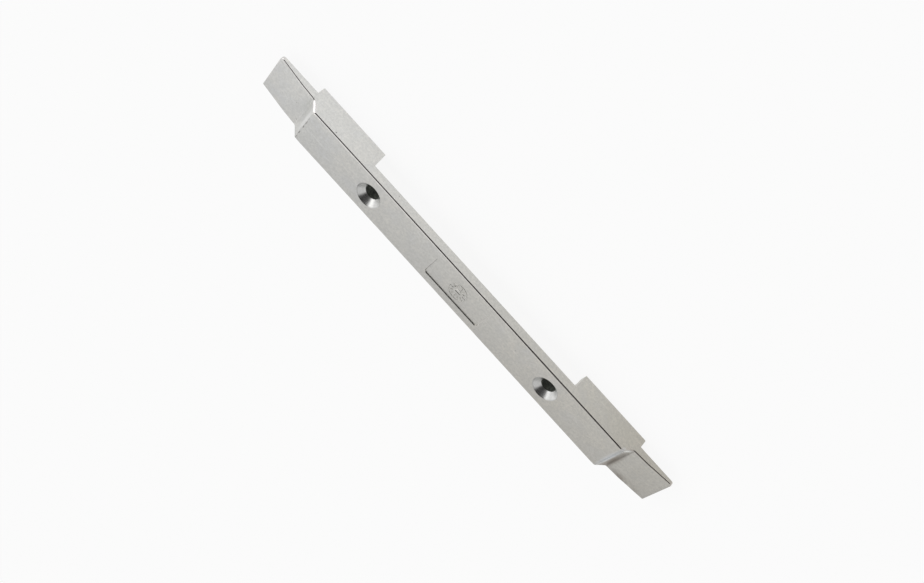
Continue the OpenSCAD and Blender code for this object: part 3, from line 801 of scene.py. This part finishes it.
# %% Join the dial
def join(name, pieces, material):
    """One mesh of several, each of them already in place."""
    form = bmesh.new()
    for piece in pieces:
        form.from_mesh(piece.data)
        bpy.data.objects.remove(piece)
    whole = to_object(form, name, [material])
    whole.data.polygons.foreach_set("material_index", [0] * len(whole.data.polygons))
    return whole


dial = join("dial", [ring, insert, ticks] + numbers, satin_zinc)
shade_by_angle(dial, 30)
settle(dial, "casing", "die_cast")

# %% [markdown]
# ## Marks of the die on the back
# Round pins push a casting out of its die and leave a shallow witness ring wherever one stood. They sit
# in straight rows on the flat areas of the back, so each row is one ring and a step.

# %% Ejector rings
def ejector_ring(z, radius):
    return turned("witness", [(radius - 0.09, z + 0.05), (radius - 0.05, z - 0.035),
                              (radius + 0.05, z - 0.035), (radius + 0.09, z + 0.05)], 40)


rows_of_marks = [
    row_of("marks_plate", ejector_ring(PLATE_Z, 1.2), satin_zinc, (-36, 5.8, 0), 4, (24, 0, 0)),
    row_of("marks_spine", ejector_ring(BLOCK_Z, 0.9), satin_zinc, (-28, 2.1, 0), 3, (28, 0, 0)),
    row_of("marks_tongues", ejector_ring(BLOCK_Z, 1.0), satin_zinc, (-79, 5.8, 0), 2, (158, 0, 0))]
marks = join("ejector_marks", rows_of_marks, satin_zinc)
shade_by_angle(marks)
settle(marks, "casing", "die_cast")

# %% [markdown]
# ## Bushes in the fixing holes
# A dark nylon bush lines each fixing hole below the countersink and keeps a screw from rattling. Its
# bore is ribbed inside, which shows as a dark, rough hole from the front. The ribs are part of the
# turned section, which goes out to a groove and back to the bore nine times.

# %% Ribbed screw bushes
SINK_Z, RIBS = FACE_Z - (SINK_R - HOLE_R), 9


def ribbed_bush():
    section = [(3.05, BLOCK_Z + 0.1), (3.05, SINK_Z), (HOLE_R + 0.02, SINK_Z)]
    pitch = (SINK_Z - BLOCK_Z) / RIBS
    for i in range(RIBS):
        top = SINK_Z - i * pitch
        section += [(HOLE_R + 0.14, top - 0.25 * pitch), (HOLE_R + 0.14, top - 0.55 * pitch),
                    (HOLE_R + 0.01, top - 0.8 * pitch)]
    section += [(HOLE_R + 0.12, BLOCK_Z), (2.95, BLOCK_Z)]
    return turned("bush", section, 56)


for end, name in ((-1, "upper_screw_bush"), (1, "lower_screw_bush")):
    bush = row_of("ribbed_" + name, ribbed_bush(), bush_nylon, (end * HOLE_X, 0, 0))
    settle(bush, "casing", "black_nylon", name)

# %% [markdown]
# ## Punched slides and cover
# A punch leaves a soft roll on one face and a sharp edge on the other. A small Bevel on a copy of each
# CAD node gives that edge its thin line of light, and the teeth come with the copy.

# %% Soften the edges of the slides and the cover
def softened(node, name, material, width_mm, segments=2):
    piece = whole_faces(node, name)
    piece.data.materials.append(material)
    bevel = piece.modifiers.new("Edge roll", "BEVEL")
    bevel.limit_method, bevel.angle_limit = "ANGLE", math.radians(50)
    bevel.width, bevel.segments = width_mm * MM, segments
    bevel.use_clamp_overlap = True
    make_plain(piece)
    shade_by_angle(piece, 30)
    return piece


for node, name, body, roll in (("upper_slide", "punched_upper_slide", "upper_drive", 0.06),
                               ("lower_slide", "punched_lower_slide", "lower_drive", 0.06),
                               ("gear_cover", "punched_cover", "casing", 0.05)):
    settle(softened(node, name, plated_steel, roll), body, "zinc_plated_steel", node)

# %% [markdown]
# ## Fork block, end guides and glide pads
# The fork block is a small raw casting riveted to the upper slide; the handle's fork enters its two
# sockets. The guides and pads are black nylon, with the rounded edges and gate dimples of moulding.
# The block and the guides are softened copies of their CAD nodes, and the round pads are turned.

# %% Fork block and guides
SOFT_EDGE = 0.12
fork_block = softened("fork_block", "cast_fork_block", raw_zinc, SOFT_EDGE, 3)
settle(fork_block, "upper_drive", "raw_zinc", "fork_block")
for node in ("upper_end_guide", "lower_end_guide"):
    settle(softened(node, "moulded_" + node, black_nylon, SOFT_EDGE, 3), "casing", "black_nylon", node)

# %% Glide pads
PAD_X, CHANNEL_Y, PAD_LOW, PAD_TOP, PAD_R = 72.6, -0.85, 0.95, 2.975, 1.7
GATE_DIMPLE = [(0, PAD_LOW + 0.2), (0.35, PAD_LOW + 0.15), (0.45, PAD_LOW)]
PAD_RIM = [(PAD_R - 0.2, PAD_LOW), (PAD_R - 0.05, PAD_LOW + 0.08), (PAD_R, PAD_LOW + 0.25),
           (PAD_R, PAD_TOP - 0.25), (PAD_R - 0.2, PAD_TOP), (0, PAD_TOP)]
for end, name, body in ((-1, "upper_glide_pad", "upper_drive"), (1, "lower_glide_pad", "lower_drive")):
    pad = row_of("moulded_" + name, turned("pad", GATE_DIMPLE + PAD_RIM), black_nylon,
                 (end * PAD_X, CHANNEL_Y, 0))
    settle(pad, body, "black_nylon", name)

# %% [markdown]
# ## Pins, rivets, screws and bushes
# These are lathe and heading work, alike at both ends of the bar. Each is turned once, with the
# chamfers and dimples that the tool leaves, and a row of two puts it in its places. A screw also gets
# a cross recess, cut with two crossed blades, and a thread, which is a zigzag in its section.

# %% Stop pins and their bushes
STOP_X = 64.7
turned_steel = turned_material("turned_steel", (0.58, 0.59, 0.61, 1), 0.2, STOP_X, CHANNEL_Y)
turned_brass = turned_material("turned_brass", (0.78, 0.60, 0.27, 1), 0.22, STOP_X, CHANNEL_Y)
pin_section = [(0, 0.26), (0.3, 0.1), (0.84, 0.1), (1.0, 0.26), (1.0, 5.14), (0.84, 5.3), (0, 5.3)]
pins = pair_of("turned_stop_pins", turned("pin", pin_section), turned_steel, STOP_X, CHANNEL_Y)
settle(pins, "casing", "bright_steel", "stop_pins")
bush = turned("bush", ring_section(1.02, 1.6, 0.8, 3.05, 0.12))
bushes = pair_of("turned_stop_bushes", bush, turned_brass, STOP_X, CHANNEL_Y)
settle(bushes, "casing", "brass", "stop_bushes")

# %% Rivets of the fork block
RIVET_X, RIVET_Y, RIVET_STEP = 5.9, -6.875, 3.2
rivet_section = [(0, 1.0), (0.42, 1.0), (0.5, 1.08), (0.5, 4.97), (0.42, 5.05), (0, 5.05)]
rivets = row_of("headed_rivets", turned("rivet", rivet_section, 32), drawn_steel,
                (RIVET_X, RIVET_Y, 0), 2, (RIVET_STEP, 0, 0))
settle(rivets, "upper_drive", "bright_steel", "fork_block_rivets")

# %% Cover screws with cross recesses and rolled threads
SCREW_X, GEAR_Y, THREAD_STEP = 9.0, -3.3, 0.15
thread = [(0.70 if i % 2 else 0.58, 1.0 + i * THREAD_STEP) for i in range(25)]
head = [(0, 0.3), (1.24, 0.3), (1.28, 0.34), (0.72, 0.9)]
screw = turned("screw", head + thread + [(0.5, 4.8), (0, 4.8)], 40)
for turn in (0, 90):
    blade = bar_form("blade", (-0.75, -0.14, 0.0), (0.75, 0.14, 0.62), 0.06)
    blade.data.transform(Matrix.Rotation(math.radians(turn), 4, "Z"))
    cut(screw, blade)
screw_steel = turned_material("screw_steel", (0.60, 0.60, 0.58, 1), 0.22, SCREW_X, GEAR_Y)
screws = pair_of("cross_screws", screw, screw_steel, SCREW_X, GEAR_Y)
settle(screws, "casing", "bright_steel", "cover_screws")

# %% [markdown]
# ## Pinion, axle and washer
# The pinion is cut brass with eight teeth. One tooth is drawn from the involute rule and a ring of
# eight is grown round a turned hub. The axle's lower end is peened flush with the cover, which leaves
# it domed, and a plated washer keeps the pinion off the casting.

# %% One involute tooth
MODULE, TEETH, PRESSURE, BACKLASH = 0.5, 8, math.radians(25), 0.06
PITCH_R = MODULE * TEETH / 2
BASE_R, ROOT_R, TOP_R = PITCH_R * math.cos(PRESSURE), PITCH_R - 1.1 * MODULE, PITCH_R + 0.8 * MODULE
GEAR_LOW, GEAR_TOP = 1.0, 2.6


def involute(radius):
    a = math.acos(min(1, BASE_R / radius))
    return math.tan(a) - a


def half_angle(radius):
    at_pitch = (math.pi * MODULE / 2 - BACKLASH) / (2 * PITCH_R)
    return at_pitch + involute(PITCH_R) - involute(max(radius, BASE_R))


def tooth_form(steps=8):
    radii = [ROOT_R - 0.1, ROOT_R] + [BASE_R + (TOP_R - BASE_R) * i / steps for i in range(steps + 1)]
    flank = [(r, half_angle(r)) for r in radii]
    outline = [(r, -a) for r, a in flank] + [(r, a) for r, a in reversed(flank)]
    form = bmesh.new()
    add_block(form, *[[(r * math.cos(a), r * math.sin(a), z) for r, a in outline]
                      for z in (GEAR_LOW, GEAR_TOP)])
    tooth = to_closed_object(form, "tooth")
    tooth.data.transform(Matrix.Rotation(math.pi / 2, 4, "Z"))
    return tooth


# %% Grow the teeth round the hub
gear_brass = turned_material("gear_brass", (0.76, 0.59, 0.26, 1), 0.24, 0, GEAR_Y, 0.1)
teeth = grow("teeth", RING, Form=tooth_form(), Count=TEETH, Centre=(0, GEAR_Y * MM, 0),
             Material=gear_brass)
hub = turned("hub", [(0.95, GEAR_LOW + 0.08), (1.03, GEAR_LOW), (ROOT_R, GEAR_LOW), (ROOT_R, GEAR_TOP),
                     (1.03, GEAR_TOP), (0.95, GEAR_TOP - 0.08)])
hub.data.transform(Matrix.Translation((0, GEAR_Y * MM, 0)))
pinion = join("cut_pinion", [teeth, hub], gear_brass)
shade_by_angle(pinion, 30)
settle(pinion, "gear", "brass", "pinion")

# %% Axle and washer
axle_section = [(0, 0.42), (0.45, 0.34), (0.72, 0.3), (0.9, 0.36), (0.9, 5.18), (0.78, 5.3), (0, 5.3)]
axle_steel = turned_material("axle_steel", (0.56, 0.57, 0.59, 1), 0.2, 0, GEAR_Y, 0.1)
axle = row_of("peened_axle", turned("axle", axle_section), axle_steel, (0, GEAR_Y, 0))
settle(axle, "casing", "bright_steel", "pinion_axle")
washer = turned("washer", ring_section(0.92, 1.46, 2.65, 3.05, 0.05))
settle(row_of("turned_washer", washer, plated_steel, (0, GEAR_Y, 0)),
       "casing", "zinc_plated_steel", "axle_washer")

# %% [markdown]
# ## Brake ball and spring
# A ball in a pocket of the casting is pressed into a groove of the lower slide, so that the slides stay
# where the handle leaves them. The spring is a coil: a spiral curve with a round wire swept along it.
# The ball needs no new form, so its CAD node is kept and only gets its finish.

# %% Coil the spring
def coil_tree():
    tree, given = new_tree("coil", {"Turns": "Float", "Radius": "Float", "Height": "Float",
                                    "Wire": "Float", "Foot": "Vector", "Material": "Material"})
    spiral = add(tree, "GeometryNodeCurveSpiral", {
        "Resolution": 24, "Rotations": given["Turns"], "Start Radius": given["Radius"],
        "End Radius": given["Radius"], "Height": given["Height"]})
    wire = add(tree, "GeometryNodeCurvePrimitiveCircle", {"Resolution": 10, "Radius": given["Wire"]})
    swept = add(tree, "GeometryNodeCurveToMesh", {
        "Curve": spiral.outputs[0], "Profile Curve": wire.outputs[0], "Fill Caps": True})
    placed = add(tree, "GeometryNodeTransform", {
        "Geometry": swept.outputs[0], "Translation": given["Foot"]})
    return end_tree(tree, placed.outputs[0], given["Material"])


spring = grow("coiled_spring", coil_tree(), Turns=6.0, Radius=0.7 * MM, Height=2.62 * MM,
              Wire=0.15 * MM, Foot=in_metres((43, -4.65, 4.66)), Material=drawn_steel)
settle(spring, "casing", "bright_steel", "brake_spring")

# %% Finish of the ball, which keeps its CAD form
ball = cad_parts["brake_ball"]
ball.data.materials.clear()
ball.data.materials.append(drawn_steel)
print("The ball takes", drawn_steel.name)

# %% [markdown]
# ## Floor
# The object lies on its feet on a white floor. To the camera and in reflections, the floor is mostly
# white, and a tenth of its shaded colour comes through so that the object's soft shadow stays. From
# below, the floor is clear, so that it never hides the underside.

# %% White floor that keeps the shadow
FLOOR, FLOOR_Z, WHITE_SHARE = 4.0, -2e-5, 0.9
floor_mesh = bpy.data.meshes.new("floor")
corners = [(x * FLOOR, y * FLOOR, FLOOR_Z) for x, y in ((-1, -1), (1, -1), (1, 1), (-1, 1))]
floor_mesh.from_pydata(corners, [], [(0, 1, 2, 3)])
floor = link(bpy.data.objects.new("floor", floor_mesh))
floor_material = bpy.data.materials.new("pale_floor")
floor_material.use_nodes = True
tree = floor_material.node_tree
tree.nodes.clear()
rays = add(tree, "ShaderNodeLightPath").outputs
seen = math_node(tree, "MAXIMUM", rays["Is Camera Ray"], rays["Is Glossy Ray"])
seen = math_node(tree, "MAXIMUM", seen, rays["Is Transmission Ray"])
matte = add(tree, "ShaderNodeBsdfDiffuse", {"Color": (0.93, 0.93, 0.93, 1)})
white = add(tree, "ShaderNodeEmission", {"Color": (1, 1, 1, 1), "Strength": 1.0})
share = math_node(tree, "MULTIPLY", seen, WHITE_SHARE)
mixed = add(tree, "ShaderNodeMixShader", {0: share, 1: matte.outputs[0], 2: white.outputs[0]})
clear = add(tree, "ShaderNodeBsdfTransparent")
under = add(tree, "ShaderNodeNewGeometry").outputs["Backfacing"]
one_sided = add(tree, "ShaderNodeMixShader", {0: under, 1: mixed.outputs[0], 2: clear.outputs[0]})
add(tree, "ShaderNodeOutputMaterial", {"Surface": one_sided.outputs[0]})
floor_mesh.materials.append(floor_material)
print("The floor is", 2 * FLOOR, "m wide")

# %% [markdown]
# ## Studio
# The world is a soft studio: bright all round, brightest on the side of the upper end, and dark high up
# behind the camera, which draws the thin dark line along each rounded edge that looks that way. A
# metal shows the room that it stands in, so the room is built of lobes, each a bright or dark patch
# round one direction. The camera itself sees plain white.

# %% World
world = bpy.data.worlds.new("studio")
bpy.context.scene.world = world
world.use_nodes = True
tree = world.node_tree
tree.nodes.clear()
direction = add(tree, "ShaderNodeTexCoord").outputs["Generated"]
AMBIENT, DARKEST = 0.68, 0.02
LOBES = (  # azimuth, elevation, full within and nothing beyond, all in degrees, then the light added
    (152, 10, 14, 45, 1.5), (-130, 8, 15, 50, 0.3), (-90, 85, 10, 60, 0.1),
    (-50, 4, 6, 24, -0.35), (90, 47, 28, 47, -1.6))


def lobe(azimuth, elevation, inner, outer, gain):
    """Light that is gain within inner degrees of a direction and falls to nothing at outer degrees."""
    a, e = math.radians(azimuth), math.radians(elevation)
    aim = (math.cos(e) * math.cos(a), math.cos(e) * math.sin(a), math.sin(e))
    towards = add(tree, "ShaderNodeVectorMath", {0: direction, 1: aim}, operation="DOT_PRODUCT")
    low, high = math.cos(math.radians(outer)), math.cos(math.radians(inner))
    inputs = {"Value": towards.outputs["Value"], "From Min": low, "From Max": high, "To Min": 0.0,
              "To Max": gain}
    return add(tree, "ShaderNodeMapRange", inputs, interpolation_type="SMOOTHSTEP").outputs["Result"]


level = AMBIENT
for patch in LOBES:
    level = math_node(tree, "ADD", level, lobe(*patch))
level = math_node(tree, "MAXIMUM", level, DARKEST)
sky = add(tree, "ShaderNodeBackground", {"Color": (1, 1, 1, 1), "Strength": level})
plain = add(tree, "ShaderNodeBackground", {"Color": (1, 1, 1, 1), "Strength": 1.0})
seen = add(tree, "ShaderNodeLightPath").outputs["Is Camera Ray"]
mixed = add(tree, "ShaderNodeMixShader", {0: seen, 1: sky.outputs[0], 2: plain.outputs[0]})
add(tree, "ShaderNodeOutputWorld", {"Surface": mixed.outputs[0]})
print("The studio is built of", len(LOBES), "lobes")

# %% Soft lamp above
lamp_data = bpy.data.lights.new("softbox", "AREA")
lamp_data.shape = "RECTANGLE"
lamp_data.size, lamp_data.size_y, lamp_data.energy = 1.2, 0.8, 2.0
lamp = link(bpy.data.objects.new("softbox", lamp_data))
lamp.location = (-0.3, -0.1, 1.3)
lamp.rotation_euler = (-lamp.location).to_track_quat("-Z", "Y").to_euler()
print("The lamp is", lamp_data.size, "m long and", lamp_data.energy, "W")

# %% [markdown]
# ## Camera
# The camera stands where the photo's did. Its place and its three axes were fitted to points of the
# bar whose places in the picture are known, such as the corners of the lugs and the rims of the holes.

# %% Camera
LENS, SENSOR = 51.10, 36
RIGHT = Vector((0.67316, 0.46905, -0.57170))
UP = Vector((-0.73801, 0.37712, -0.55958))
BACK = Vector((-0.04687, 0.79861, 0.60002))
CAMERA_PLACE = Vector((-18.05, 320.64, 248.37)) * MM
camera_data = bpy.data.cameras.new("camera")
camera_data.sensor_width, camera_data.lens = SENSOR, LENS
camera = link(bpy.data.objects.new("camera", camera_data))
turn = Matrix((RIGHT, UP, BACK)).transposed()
camera.matrix_world = Matrix.Translation(CAMERA_PLACE) @ turn.to_4x4()
bpy.context.scene.camera = camera
bpy.context.scene.view_settings.view_transform = "Standard"
print("The camera stands", round(CAMERA_PLACE.length, 3), "m from the middle of the bar")
